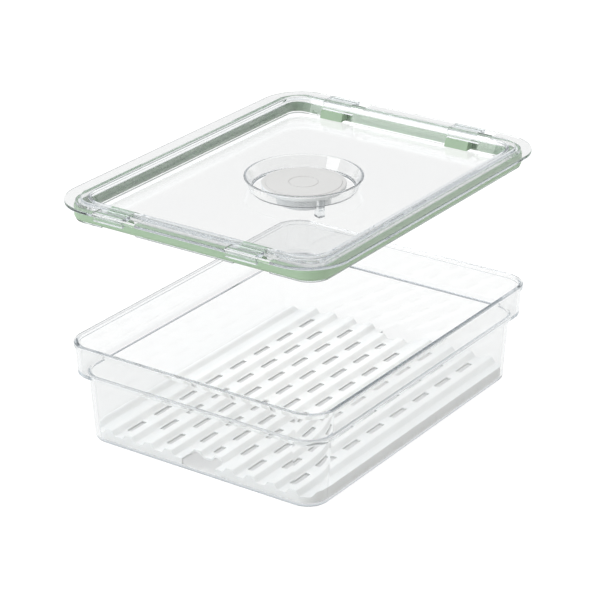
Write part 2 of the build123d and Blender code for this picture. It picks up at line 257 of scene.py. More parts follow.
class StudioSettings(bpy.types.PropertyGroup):
    """Camera and light"""
    eye: FloatVectorProperty(name="Eye", description="Where the camera stands", size=3,
                             subtype="TRANSLATION", default=(0.8008, -1.1643, 0.6993))
    aim: FloatVectorProperty(name="Aim", description="What the camera looks at", size=3,
                             subtype="TRANSLATION", default=(-0.0018, -0.0019, 0.0743))
    lens: number("Lens", "Focal length in millimetres", 146.03)
    roll: number("Roll", "Turn about the line of sight", math.radians(-0.16), subtype="ANGLE")
    floor_size: length("Floor size", "Half the width of the floor", 6.0)
    floor_gap: length("Floor gap", "How far the floor lies under the bin", 0.0003)
    floor_glow: number("Floor glow", "How bright the floor is seen", 0.95)
    floor_shadow: number("Floor shadow", "How strong its shadow is seen", 0.15)
    floor_bounce: number("Floor bounce", "How much light it scatters back", 0.66)
    key: number("Overhead light", "Watts of the softbox overhead", 7.0)
    side: number("Side light", "Watts of the softbox on the left", 10.0)


class StorageBin(bpy.types.PropertyGroup):
    """All the settings of the storage bin"""
    bin: PointerProperty(type=BinSizes)
    tray: PointerProperty(type=TraySizes)
    lid: PointerProperty(type=LidSizes)
    vent: PointerProperty(type=VentSizes)
    finish: PointerProperty(type=FinishColours)
    studio: PointerProperty(type=StudioSettings)


def settings():
    return bpy.context.scene.storage_bin


def grow(outline, amount):
    """Offset a rounded rectangle, held as half width, half length and corner radius."""
    return tuple(value + amount for value in outline)


def outline_of(node, radius):
    """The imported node's outline from above, with the given corner radius."""
    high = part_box(node)[1]
    return (high.x, high.y, radius)


def eased(corners):
    """Profile points. A corner is a point and its rounding, which is drawn as a bend of a few steps."""
    points = []
    for index, (point, bend) in enumerate(corners):
        if not bend:
            points.append(point)
            continue
        sides = []
        for other in (corners[index - 1][0], corners[(index + 1) % len(corners)][0]):
            step = other - point
            reach = math.hypot(step[0], step[-1])
            sides.append((step / reach, reach))
        (back, back_reach), (ahead, ahead_reach) = sides
        turn = math.pi - math.acos(max(-1, min(1, back[0] * ahead[0] + back[-1] * ahead[-1])))
        tangent = min(bend * math.tan(turn / 2), EDGE_SHARE * back_reach, EDGE_SHARE * ahead_reach)
        for step in range(ARC_STEPS + 1):
            share = step / ARC_STEPS
            points.append(point + tangent * ((1 - share) ** 2 * back + share ** 2 * ahead))
    return points


def round_corners(bm, corners, radius, steps):
    return bmesh.ops.bevel(bm, geom=corners, offset=radius, offset_type="OFFSET", segments=steps,
                           profile=0.5, affect="VERTICES", material=-1)["verts"]


def rounded_face(bm, half_x, half_y, radius, z):
    """A flat face with rounded corners, made from one square whose corners are bevelled."""
    spot = Matrix.Translation((0, 0, z)) @ Matrix.Diagonal((half_x, half_y, 1, 1))
    corners = bmesh.ops.create_grid(bm, x_segments=1, y_segments=1, size=1, matrix=spot)["verts"]
    return round_corners(bm, corners, radius, CORNER_STEPS)[0].link_faces[0]


def outward(bm):
    bmesh.ops.recalc_face_normals(bm, faces=bm.faces)


def stacked_shell(name, corners, closed=False):
    """A solid through rounded rectangles, each with its height and a rounding.

    An open stack keeps its two end faces as lids. Rings are bridged on even steps of height and
    then moved to their own, because two rings in one plane can be bridged crosswise.
    """
    bm = bmesh.new()
    points = eased([(Vector((*outline, z)), bend) for outline, z, bend in corners])
    faces = [rounded_face(bm, *point[:3], index * RING_STEP) for index, point in enumerate(points)]
    rings = [list(face.edges) for face in faces]
    verts = [list(face.verts) for face in faces]
    bmesh.ops.delete(bm, geom=faces if closed else faces[1:-1], context="FACES_ONLY")
    for index, ring in enumerate(rings):
        if index or closed:
            bmesh.ops.bridge_loops(bm, edges=rings[index - 1] + ring)
    for index, point in enumerate(points):
        bmesh.ops.translate(bm, verts=verts[index], vec=(0, 0, point[3] - index * RING_STEP))
    outward(bm)
    return finished(name, bm)


def lathe(name, corners, closed=False):
    """A solid turned about the Z axis. Each corner is a radius, a height and a rounding."""
    bm = bmesh.new()
    points = eased([(Vector((radius, z)), bend) for radius, z, bend in corners])
    verts = [bm.verts.new((point[0], 0, point[1])) for point in points]
    pairs = list(zip(verts, verts[1:])) + [(verts[-1], verts[0])] * closed
    edges = [bm.edges.new(pair) for pair in pairs]
    bmesh.ops.spin(bm, geom=verts + edges, cent=(0, 0, 0), axis=(0, 0, 1), angle=math.tau,
                   steps=TURN_STEPS, use_merge=True)
    bmesh.ops.remove_doubles(bm, verts=bm.verts, dist=TINY)
    bmesh.ops.dissolve_degenerate(bm, edges=bm.edges, dist=TINY)
    outward(bm)
    return finished(name, bm)


def only_verts(items):
    return [item for item in items if isinstance(item, bmesh.types.BMVert)]


def push(bm, face, vec):
    """Extrude a face into a solid, and give back the vertices of its far end."""
    far = only_verts(bmesh.ops.extrude_face_region(bm, geom=[face])["geom"])
    bmesh.ops.translate(bm, vec=vec, verts=far)
    return far


def add_box(bm, low, high, turn=0.0):
    """A box between two corners, turned about the Z axis."""
    middle = (Vector(low) + Vector(high)) / 2
    size = Vector(high) - Vector(low)
    place = Matrix.Rotation(turn, 4, "Z") @ Matrix.Translation(middle) @ Matrix.Diagonal((*size, 1))
    return bmesh.ops.create_cube(bm, size=1, matrix=place)["verts"]


def span(side, near, far):
    """Low and high y of a stretch from near to far out on one side."""
    return sorted((side * near, side * far))


def linked(name, data):
    """An object that holds the data, linked to the scene."""
    thing = bpy.data.objects.new(name, data)
    bpy.context.scene.collection.objects.link(thing)
    return thing


def finished(name, bm):
    """An object that holds the mesh."""
    mesh = bpy.data.meshes.new(name)
    bm.to_mesh(mesh)
    bm.free()
    return linked(name, mesh)


def settle(piece):
    """Apply the piece's modifiers to its mesh."""
    bpy.context.view_layer.update()
    graph = bpy.context.evaluated_depsgraph_get()
    mesh = bpy.data.meshes.new_from_object(piece.evaluated_get(graph))
    piece.modifiers.clear()
    piece.data = mesh


def combine(piece, fill, operation="DIFFERENCE"):
    """Cut the shapes that fill adds out of the piece, or join them on."""
    bm = bmesh.new()
    fill(bm)
    tool = finished("tool", bm)
    modifier = piece.modifiers.new("shape", "BOOLEAN")
    modifier.operation = operation
    modifier.solver = "MANIFOLD"
    modifier.object = tool
    settle(piece)
    bpy.data.objects.remove(tool)


def round_edges(piece, width, limit=math.radians(50)):
    bevel = piece.modifiers.new("rounded edges", "BEVEL")
    bevel.width = width
    bevel.segments = 2
    bevel.limit_method = "ANGLE"
    bevel.angle_limit = limit
    bevel.use_clamp_overlap = True
    settle(piece)


def smooth(piece, sharp=math.radians(32)):
    """Smooth shading that stays crisp at edges sharper than the limit."""
    bm = bmesh.new()
    bm.from_mesh(piece.data)
    for face in bm.faces:
        face.smooth = True
    for edge in bm.edges:
        edge.smooth = len(edge.link_faces) == 2 and edge.calc_face_angle(math.pi) < sharp
    bm.to_mesh(piece.data)
    bm.free()
    normals = piece.modifiers.new("flat faces first", "WEIGHTED_NORMAL")
    normals.keep_sharp = True
    normals.weight = 100
    settle(piece)


def place(piece, node, slot):
    """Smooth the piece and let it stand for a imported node: same body, same finish slot."""
    smooth(piece)
    body = next(name for name, nodes in frame["record"]["behaviour"]["bodies"].items() if node in nodes)
    piece.data.materials.clear()
    piece.data.materials.append(bpy.data.materials[slot])
    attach(piece, body)
    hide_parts(node)


def bin_outlines(sizes):
    """Outlines of the bin's outside, from the collar's top down to the base."""
    rim = outline_of("bin", sizes.rim_radius)
    collar_top = grow(rim, -sizes.bead_width)
    collar_bottom = grow(collar_top, -sizes.collar_draft)
    lower_top = grow(collar_bottom, -sizes.ledge_step)[:2] + (sizes.base_radius + sizes.lower_draft,)
    return rim, collar_top, collar_bottom, lower_top, grow(lower_top, -sizes.lower_draft)


def build_bin(sizes):
    rim, collar_top, collar_bottom, lower_top, base = bin_outlines(sizes)
    low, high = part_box("bin")
    top = high.z
    ledge = top - sizes.collar_height
    wall = sizes.wall
    inner_ledge = ledge + wall - sizes.ledge_slope
    flat = grow(base, -3 * sizes.base_round)
    piece = stacked_shell("bin_moulding", [
        (flat, low.z, 0),
        (base, low.z, sizes.base_round),
        (lower_top, ledge - sizes.ledge_slope, sizes.rim_round),
        (collar_bottom, ledge, sizes.ledge_round),
        (collar_top, top - sizes.bead_height, sizes.rim_round / 2),
        (rim, top - sizes.bead_height, sizes.rim_round / 2),
        (rim, top, sizes.rim_round),
        (grow(collar_top, -wall), top, sizes.rim_round),
        (grow(collar_bottom, -wall), inner_ledge + sizes.ledge_slope, sizes.rim_round),
        (grow(lower_top, -wall), inner_ledge, sizes.ledge_round),
        (grow(base, -wall), wall, sizes.rim_round),
        (flat, wall, 0),
    ])
    place(piece, "bin", "clear_bin")


def tray_height(sizes, x):
    """How far below the ridges the tray's top lies at x."""
    from_groove = abs((x / sizes.groove_pitch + sizes.grooves / 2) % 1 - 0.5) * sizes.groove_pitch
    rise = (from_groove - sizes.slope_start) / (sizes.slope_end - sizes.slope_start)
    share = max(0, min(1, rise))
    return sizes.groove_depth * (share * share * (3 - 2 * share) - 1)


def split(bm, axis, values, faces=None):
    """Cut the flat sheet, or only some faces of it, across at each value along an axis."""
    normal = Vector((0, 0, 0))
    normal[axis] = 1
    for value in values:
        pieces = faces() if faces else bm.faces[:]
        geom = list({item for face in pieces for item in (*face.verts, *face.edges, face)})
        bmesh.ops.bisect_plane(bm, geom=geom, dist=TINY, plane_co=normal * value, plane_no=normal)


def row(count, pitch):
    """Evenly spaced places about the middle."""
    return [(index - (count - 1) / 2) * pitch for index in range(count)]


def slot_places(sizes, grooves, half_y):
    """Middle x and the ends in y of each slot, staggered from groove to groove.

    The two outer grooves have none, and slots beside a notch keep clear of it.
    """
    limit = half_y - sizes.notch_depth - sizes.notch_land
    places = []
    for index, x in enumerate(grooves[1:-1]):
        reach = limit if abs(x) < sizes.notch_width / 2 else half_y
        for y in row(sizes.slots - index % 2, sizes.slot_pitch):
            ends = (y - sizes.slot_length / 2, y + sizes.slot_length / 2)
            places.append((x, max(ends[0], -reach), min(ends[1], reach)))
    return places


def cut_slots(bm, sizes, places):
    """Open a round-cornered slot at each place of the flat sheet."""
    def key(x, y):
        return round(x, 5), round(y, 5)

    wanted = {key(x, (near + far) / 2) for x, near, far in places}

    def slots():
        return [face for face in bm.faces if key(*face.calc_center_bounds().xy) in wanted]

    for column in sorted({place[0] for place in places}):
        def strip():
            return [face for face in bm.faces if abs(face.calc_center_bounds().x - column) < TINY]
        split(bm, 1, [end for x, *ends in places if x == column for end in ends], strip)
    corners = list({vert for face in slots() for vert in face.verts})
    round_corners(bm, corners, sizes.slot_round, SLOT_STEPS)
    bmesh.ops.delete(bm, geom=slots(), context="FACES")


def build_tray(sizes):
    low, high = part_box("drain_tray")
    base = bin_outlines(settings().bin)[-1]
    radius = base[2] - (base[0] - high.x)
    half_slot = sizes.slot_width / 2
    grooves = row(sizes.grooves, sizes.groove_pitch)
    places = slot_places(sizes, grooves, high.y)
    bm = bmesh.new()
    rounded_face(bm, high.x, high.y, radius, high.z)
    split(bm, 0, [x + side * half_slot for x in grooves for side in (-1, 1)])
    cut_slots(bm, sizes, places)
    run = sizes.slope_end - sizes.slope_start
    split(bm, 0, [x + side * (sizes.slope_start + run * step / SLOPE_STEPS)
                  for x in grooves for side in (-1, 1) for step in range(SLOPE_STEPS + 1)])
    for vert in bm.verts:
        vert.co.z += tray_height(sizes, vert.co.x)
    last_x = max(x for x, _, _ in places) + half_slot
    last_y = max(far for _, _, far in places)
    outer = [edge for edge in bm.edges if edge.is_boundary and all(
        abs(vert.co.x) > last_x + TINY or abs(vert.co.y) > last_y + TINY for vert in edge.verts)]
    for vert in only_verts(bmesh.ops.extrude_edge_only(bm, edges=outer)["geom"]):
        vert.co.z = low.z
    outward(bm)
    if max(bm.faces, key=lambda face: face.calc_area()).normal.z < 0:
        bmesh.ops.reverse_faces(bm, faces=bm.faces)
    piece = finished("drain_tray_moulding", bm)
    wall = piece.modifiers.new("wall", "SOLIDIFY")
    wall.thickness = sizes.wall
    wall.offset = -1
    wall.use_even_offset = True
    settle(piece)

    def feet(tool):
        depth = high.z - sizes.groove_depth - sizes.wall / 2 - low.z
        for x in row(2, FOOT_SPREAD * sizes.groove_pitch):
            for y in row(2, FOOT_SPREAD * sizes.slot_pitch):
                spot = Matrix.Translation((x, y, low.z + depth / 2))
                bmesh.ops.create_cone(tool, cap_ends=True, segments=24, radius1=sizes.foot_radius,
                                      radius2=sizes.foot_radius, depth=depth, matrix=spot)

    def notches(tool):
        for side in (-1, 1):
            face = rounded_face(tool, sizes.notch_width / 2, sizes.notch_depth, sizes.notch_radius,
                                low.z - sizes.wall)
            verts = push(tool, face, (0, 0, high.z)) + list(face.verts)
            bmesh.ops.translate(tool, vec=(0, side * high.y, 0), verts=verts)
        outward(tool)

    combine(piece, feet, "UNION")
    combine(piece, notches)
    round_edges(piece, sizes.edge_round)
    place(piece, "drain_tray", "white_tray")


class LidShape:
    """Outlines and heights of the lid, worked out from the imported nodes."""

    def __init__(self, sizes):
        low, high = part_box("lid_panel")
        gasket_low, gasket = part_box("lid_gasket")
        bin_sizes = settings().bin
        collar_inside = grow(bin_outlines(bin_sizes)[1], -bin_sizes.wall)
        self.flange = outline_of("lid_panel", sizes.flange_radius)
        self.land = grow(self.flange, -sizes.land_inset)
        self.recess_top = grow(self.flange, -sizes.recess_inset)[:2] + (sizes.recess_radius,)
        self.recess_bottom = grow(self.recess_top, -sizes.recess_draft)
        self.draft = sizes.recess_draft / sizes.recess_depth
        self.gasket = (gasket.x, gasket.y, collar_inside[2] - (collar_inside[0] - gasket.x))
        self.skirt = grow(self.gasket, -sizes.gasket_thickness)
        self.under = high.z - sizes.land_height - sizes.flange_thickness
        self.top = self.under + sizes.flange_thickness
        self.land_top = high.z
        self.pane_top = self.top - sizes.recess_depth
        self.pane_bottom = self.pane_top - sizes.wall
        self.skirt_bottom = low.z
        self.lip_top = gasket_low.z
        self.gasket_top = gasket.z
        self.window = (self.land[1] + sizes.fit, self.flange[1] - sizes.window_edge)
        lows = [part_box(f"lid_clip_{index}")[0] for index in range(1, 5)]
        self.stations = [(corner.x, 1 if corner.y > 0 else -1) for corner in lows]


def station_boxes(tool, lid, x, y, z):
    """A box at each clip station, with x counted from the station and y outwards."""
    verts = []
    for start, side in lid.stations:
        near, far = span(side, *y)
        verts += add_box(tool, (start + x[0], near, z[0]), (start + x[1], far, z[1]))
    return verts


def build_lid(sizes):
    lid = LidShape(sizes)
    hole = settings().vent.spigot_radius + sizes.fit
    circle = (hole, hole, hole - TINY)
    mouth = grow(lid.recess_top, lid.draft * sizes.land_height)
    shoulder = grow(lid.skirt, sizes.shoulder_width)
    lip = grow(lid.skirt, sizes.lip_width)
    skirt_inside = grow(lid.skirt, -sizes.skirt_wall)
    bend = sizes.flange_round
    piece = stacked_shell("lid_moulding", [
        (circle, lid.pane_top, 0),
        (lid.recess_bottom, lid.pane_top, sizes.recess_round),
        (mouth, lid.land_top, bend),
        (lid.land, lid.land_top, bend),
        (lid.land, lid.top, bend / 3),
        (lid.flange, lid.top, bend),
        (lid.flange, lid.under, bend),
        (shoulder, lid.under, bend / 2),
        (shoulder, lid.under - sizes.shoulder_depth, bend / 2),
        (lid.skirt, lid.under - sizes.shoulder_depth, bend / 2),
        (lid.skirt, lid.lip_top, bend / 3),
        (lip, lid.lip_top, bend / 2),
        (lip, lid.skirt_bottom, bend / 2),
        (skirt_inside, lid.skirt_bottom, bend),
        (skirt_inside, lid.under + bend, 0),
        (grow(lid.recess_top, sizes.wall), lid.under + bend, 0),
        (grow(lid.recess_bottom, sizes.wall), lid.pane_bottom, sizes.recess_round),
        (circle, lid.pane_bottom, 0),
    ], closed=True)
    fit = sizes.fit
    above = 2 * lid.land_top
    window = sizes.wall_window_start
    window_z = (lid.pane_top + fit, lid.gasket_top + fit)

    def flange_openings(tool):
        station_boxes(tool, lid, (0, sizes.window_length), lid.window,
                      (lid.under - sizes.flange_thickness, above))
        station_boxes(tool, lid, (0, sizes.lip_gap_length),
                      (lid.skirt[1], lid.skirt[1] + 2 * sizes.lip_width),
                      (lid.skirt_bottom - sizes.lip_width, lid.lip_top))
        for side in (-1, 1):
            near, far = span(side, lid.land[0] - sizes.relief_width, lid.land[0] + fit)
            add_box(tool, (near, -sizes.relief_length / 2, lid.land_top - sizes.relief_depth),
                    (far, sizes.relief_length / 2, above))

    def wall_windows(tool):
        station_boxes(tool, lid, (window, window + sizes.wall_window_length),
                      (lid.recess_bottom[1] - sizes.wall, skirt_inside[1] - 4 * fit), window_z)

    def tab_openings(tool):
        station_boxes(tool, lid, (window - fit, window + sizes.tab_width + fit),
                      (lid.recess_top[1], lid.skirt[1] + fit), window_z)

    for cut in (flange_openings, wall_windows, tab_openings):
        combine(piece, cut)
    place(piece, "lid_panel", "clear_lid")


def build_gasket(sizes):
    lid = LidShape(sizes)
    crown = sizes.gasket_crown
    lead = sizes.gasket_lead
    inside = grow(lid.skirt, sizes.fit)
    piece = stacked_shell("gasket_band", [
        (inside, lid.lip_top, 0),
        (grow(lid.gasket, -lead / 2), lid.lip_top, crown),
        (lid.gasket, lid.lip_top + lead, lead),
        (lid.gasket, lid.gasket_top - lead, lead),
        (grow(lid.gasket, -crown), lid.gasket_top, crown),
        (inside, lid.gasket_top, 0),
    ], closed=True)
    near = sizes.wall_window_start
    face = lid.recess_bottom[1] - sizes.tab_proud

    def tabs(tool):
        verts = station_boxes(tool, lid, (near, near + sizes.tab_width),
                              (face, lid.skirt[1] + sizes.wall / 4),
                              (lid.pane_top + 2 * sizes.fit, lid.gasket_top))
        for vert in verts:
            if abs(vert.co.y) < face + TINY:
                vert.co.y += math.copysign(lid.draft * (vert.co.z - lid.pane_top), vert.co.y)

    combine(piece, tabs, "UNION")
    round_edges(piece, crown / 2, math.radians(60))
    place(piece, "lid_gasket", "sage_gasket")


def build_clips(sizes):
    """The clear clips, each a plate in the flange with a finger that hangs outside the rim."""
    lid = LidShape(sizes)
    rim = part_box("bin")[1].y + sizes.clip_gap
    finger = rim + sizes.gasket_thickness - sizes.gasket_crown
    lead = (finger - rim) / 3
    for index, (_, side) in enumerate(lid.stations, start=1):
        node = f"lid_clip_{index}"
        low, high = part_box(node)
        near, far = (low.y, high.y) if side > 0 else (-high.y, -low.y)
        profile = [(near, lid.under), (near, high.z), (far, high.z), (far, lid.under),
                   (finger, lid.under), (finger, low.z), (rim + lead, low.z), (rim, low.z + lead),
                   (rim, lid.under)]
        bm = bmesh.new()
        end = bm.faces.new([bm.verts.new((low.x, side * y, z)) for y, z in profile])
        push(bm, end, (high.x - low.x, 0, 0))
        outward(bm)
        piece = finished(f"clip_{index}", bm)
        round_edges(piece, sizes.clip_round, math.radians(30))
        place(piece, node, "clear_clip")


def radial_boxes(tool, sizes, near, far, width, low, high):
    """A ring of boxes, one for each air slot, from near to far out."""
    for index in range(sizes.slots):
        add_box(tool, (near, -width / 2, low), (far, width / 2, high), index * math.tau / sizes.slots)


def cut_air_slots(piece, sizes, low, high):
    near = sizes.slot_circle - sizes.slot_length / 2
    far = near + sizes.slot_length
    combine(piece, lambda tool: radial_boxes(tool, sizes, near, far, sizes.slot_width, low, high))


def build_cup(sizes):
    lid = LidShape(settings().lid)
    low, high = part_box("vent_cup")
    floor_top = low.z + sizes.cup_floor
    lean = (sizes.cup_radius - sizes.cup_base_radius) / (high.z - lid.pane_top)
    inner_base = sizes.cup_base_radius - sizes.cup_wall - lean * (lid.pane_top - floor_top)
    hole = sizes.spindle_radius + settings().lid.fit
    neck = sizes.spigot_radius
    snap = sizes.snap
    rim = sizes.cup_rim_round
    piece = lathe("vent_cup_moulding", [
        (hole, low.z, 0), (neck - snap, low.z, 0),
        (neck + snap, (low.z + lid.pane_bottom) / 2, snap / 3), (neck + snap, lid.pane_bottom, 0),
        (neck, lid.pane_bottom, 0), (neck, lid.pane_top, 0),
        (sizes.cup_base_radius, lid.pane_top, snap), (sizes.cup_radius, high.z, rim),
        (sizes.cup_radius - sizes.cup_wall, high.z, rim), (inner_base, floor_top, rim),
        (hole, floor_top, 0),
    ], closed=True)
    cut_air_slots(piece, sizes, low.z - snap, floor_top + snap)
    place(piece, "vent_cup", "clear_cup")


def build_dial(sizes):
    low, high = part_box("vent_dial")
    face_low, face_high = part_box("dial_face")
    under = high.z - sizes.disc_thickness
    skirt = sizes.skirt_radius
    skirt_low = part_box("vent_cup")[0].z + sizes.cup_floor + sizes.running_gap
    inside = skirt - sizes.skirt_wall
    spindle = sizes.spindle_radius
    pocket = face_high.x + settings().lid.fit
    bend = sizes.disc_round
    piece = lathe("vent_dial_moulding", [
        (0, low.z, 0), (spindle, low.z, bend / 2), (spindle, under, bend / 2),
        (inside, under, bend / 2), (inside, skirt_low, 0), (skirt, skirt_low, 0),
        (skirt, under, bend / 2), (high.x, under, bend), (high.x, high.z, bend),
        (pocket, high.z, bend / 4), (pocket, face_low.z, 0), (0, face_low.z, 0),
    ])
    combine(piece, lambda tool: radial_boxes(
        tool, sizes, inside - sizes.skirt_wall, skirt + sizes.skirt_wall, sizes.port_width,
        skirt_low - bend, (skirt_low + under) / 2))
    place(piece, "vent_dial", "grey_vent")


def build_inlay(sizes):
    low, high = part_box("dial_face")
    outer = sizes.ring_radius
    inner = outer - sizes.ring_width
    bottom = high.z - sizes.ring_depth
    edge = sizes.ring_width / 4
    piece = lathe("dial_inlay", [
        (0, low.z, 0), (high.x, low.z, 0), (high.x, high.z, edge), (outer, high.z, edge),
        (outer, bottom, edge / 2), (inner, bottom, edge / 2), (inner, high.z, edge), (0, high.z, 0),
    ])
    place(piece, "dial_face", "pale_face")


def build_housing(sizes):
    low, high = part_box("vent_housing")
    foot = sizes.housing_foot
    wall = sizes.housing_wall
    piece = lathe("vent_cage", [
        (0, low.z, 0), (foot, low.z, wall), (high.x, high.z, 0), (high.x - wall, high.z, 0),
        (foot - wall, low.z + wall, wall / 2), (0, low.z + wall, 0),
    ])
    cut_air_slots(piece, sizes, low.z - wall, low.z + 2 * wall)
    place(piece, "vent_housing", "grey_vent")


def rgba(tone, share=1.0):
    """A colour with full alpha, darkened to a share of itself."""
    return (*(value * share for value in tone), 1)


class Graph:
    """Adds nodes to a tree. A value that is a socket is linked, and any other is set."""

    def __init__(self, tree):
        self.tree = tree

    def fill(self, node, values):
        for key, value in values.items():
            if isinstance(value, bpy.types.NodeSocket):
                self.tree.links.new(value, node.inputs[key])
            else:
                node.inputs[key].default_value = value

    def add(self, kind, values=None, **options):
        node = self.tree.nodes.new(kind)
        for name, option in options.items():
            setattr(node, name, option)
        self.fill(node, values or {})
        return node

    def math(self, operation, *values):
        return self.add("ShaderNodeMath", dict(enumerate(values)), operation=operation).outputs[0]

    def between(self, value, low, high):
        """How far the value lies on the way from low to high."""
        values = {"Value": value, "From Min": low, "From Max": high}
        return self.add("ShaderNodeMapRange", values).outputs["Result"]

    def blend(self, share, first, second):
        """A colour between two others."""
        return self.add("ShaderNodeMix", {0: share, 6: first, 7: second}, data_type="RGBA").outputs[2]

    def mix(self, share, first, second):
        """A shader between two others."""
        return self.add("ShaderNodeMixShader", {0: share, 1: first, 2: second}).outputs[0]

    def parts(self, space):
        """X, Y and Z of the texture coordinate."""
        point = self.add("ShaderNodeTexCoord").outputs[space]
        return self.add("ShaderNodeSeparateXYZ", {0: point}).outputs


def moulded_group():
    """Fine grain and slow sink of a moulding, from object coordinates."""
    group = bpy.data.node_groups.new("moulded surface", "ShaderNodeTree")

    def socket(name, direction, kind="Float"):
        return group.interface.new_socket(name, in_out=direction, socket_type="NodeSocket" + kind)

    socket("Vector", "INPUT", "Vector")
    for name, default in SURFACE_INPUTS.items():
        socket(name, "INPUT").default_value = default
    for name in ("Height", "Roughness", "Tone"):
        socket(name, "OUTPUT")
    graph = Graph(group)
    given = graph.add("NodeGroupInput").outputs

    def noise(scale, detail):
        values = {"Vector": given["Vector"], "Scale": given[scale], "Detail": detail}
        return graph.add("ShaderNodeTexNoise", values).outputs["Fac"]

    flow = noise("Flow scale", 2)
    height = graph.math("MULTIPLY_ADD", noise("Grain scale", 3), GRAIN_HEIGHT, flow)
    centred = graph.math("SUBTRACT", flow, 0.5)
    rough = graph.math("MULTIPLY_ADD", centred, given["Roughness spread"], given["Roughness"])
    graph.add("NodeGroupOutput", {"Height": height, "Roughness": rough, "Tone": flow})
    return group


def begin_material(name, group, surface, bump):
    """A material with the moulded surface behind its roughness and normal."""
    material = bpy.data.materials.get(name)
    if material:
        bpy.data.materials.remove(material)
    material = bpy.data.materials.new(name)
    material.use_nodes = True
    graph = Graph(material.node_tree)
    values = dict(zip(SURFACE_INPUTS, surface), Vector=graph.add("ShaderNodeTexCoord").outputs["Object"])
    made = graph.add("ShaderNodeGroup", values, node_tree=group).outputs
    relief = graph.add("ShaderNodeBump", {"Strength": 1.0, "Distance": bump, "Height": made["Height"]})
    shader = material.node_tree.nodes["Principled BSDF"]
    graph.fill(shader, {"Roughness": made["Roughness"], "Normal": relief.outputs["Normal"]})
    return graph, shader, made["Tone"]


def opaque_plastic(name, group, surface, bump, tone, dark, scatter=None, lit_top_shade=None):
    """A base colour that wanders a little to a darker one.

    Light can scatter under it, and above a level it can turn to another colour, painted shade for a top
    that light falls on.
    """
    graph, shader, wander = begin_material(name, group, surface, bump)
    base = graph.blend(wander, rgba(tone, dark), rgba(tone))
    # Painted light: above the level the colour turns darker, because that top is lit
    if lit_top_shade:
        level, lit_top_grey = lit_top_shade
        over = graph.between(graph.parts("Object")["Z"], level - TOP_BAND, level)
        base = graph.blend(over, base, rgba(lit_top_grey))
    graph.fill(shader, {"Base Color": base})
    if scatter:
        keys = ("Subsurface Weight", "Subsurface Radius", "Subsurface Scale")
        graph.fill(shader, dict(zip(keys, scatter)))


def clear_plastic(name, group, finish, tint, edge, density):
    """Polished clear plastic, which lamps reach through.

    Where it is seen along its surface it is greyed, a painted edge shade, and long ways inside it
    turn blue-grey. A ray that stays caught inside leaves it straight.
    """
    graph, shader, _ = begin_material(name, group, CLEAR_SURFACE, 2e-6)
    slant = graph.add("ShaderNodeLayerWeight", {"Blend": 0.5}).outputs["Facing"]
    # Painted edge shade: the colour turns to the edge grey as the face is seen at a slant
    edge_shaded_tint = graph.blend(graph.between(slant, GRAZING, 1.0), rgba(tint), rgba(edge))
    graph.fill(shader, {"Transmission Weight": 1, "IOR": CLEAR_IOR, "Base Color": edge_shaded_tint})
    ray = graph.add("ShaderNodeLightPath").outputs
    caught = graph.math("GREATER_THAN", ray["Glossy Depth"], TRAPPED_DEPTH)
    straight = graph.math("MAXIMUM", ray["Is Shadow Ray"], caught)
    leaving = graph.blend(caught, rgba(finish.shadow), rgba(finish.trapped))
    through = graph.add("ShaderNodeBsdfTransparent", {"Color": leaving})
    inside = graph.add("ShaderNodeVolumeAbsorption", {"Color": rgba(finish.clear_depth),
                                                      "Density": density * finish.clear_density})
    graph.fill(graph.tree.nodes["Material Output"], {
        "Surface": graph.mix(straight, shader.outputs[0], through.outputs[0]),
        "Volume": inside.outputs[0],
    })


def build_materials(finish):
    group = moulded_group()
    # Each clear plastic gets its tint and its painted edge shade
    for name, tint, edge, density in (("clear_bin", finish.clear, finish.clear_edge_shade, 1),
                                      ("clear_lid", finish.pane, finish.lid_edge_shade, 1.3),
                                      ("clear_cup", finish.pane, finish.cup_edge_shade, 0.7),
                                      ("clear_clip", finish.clip, finish.clear_edge_shade, 1.2)):
        clear_plastic(name, group, finish, tint, edge, density)
    opaque_plastic("white_tray", group, TRAY_SURFACE, 6e-6, finish.tray, 0.975,
                   scatter=(0.35, (0.95, 1.0, 1.05), 0.002))
    opaque_plastic("sage_gasket", group, GASKET_SURFACE, 8e-6, finish.gasket, 0.93,
                   scatter=(0.15, (0.8, 1.0, 0.7), 0.0015))
    # Painted light: the vent's lit top turns darker to the inlay's grey, over a vent grey lightened for the
    # shade below
    opaque_plastic("grey_vent", group, VENT_SURFACE, 5e-6, finish.vent, 0.95,
                   lit_top_shade=(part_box("vent_dial")[1].z - TOP_BAND, finish.inlay))
    opaque_plastic("pale_face", group, INLAY_SURFACE, 6e-6, finish.inlay, 0.97)


def dress_nodes():
    """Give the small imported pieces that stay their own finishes."""
    for part in frame["record"]["subparts"]:
        node = frame["nodes"][part["node"]]
        for slot in node.material_slots:
            slot.material = bpy.data.materials[part["material_slot"]]


def seen_directly(graph):
    """The kinds of ray, and one for those that come straight, mirrored or through glass."""
    ray = graph.add("ShaderNodeLightPath").outputs
    direct = ray["Is Camera Ray"]
    for name in ("Is Glossy Ray", "Is Transmission Ray"):
        direct = graph.math("MAXIMUM", direct, ray[name])
    unscattered = graph.math("LESS_THAN", ray["Diffuse Depth"], 0.5)
    return ray, graph.math("MULTIPLY", direct, unscattered)


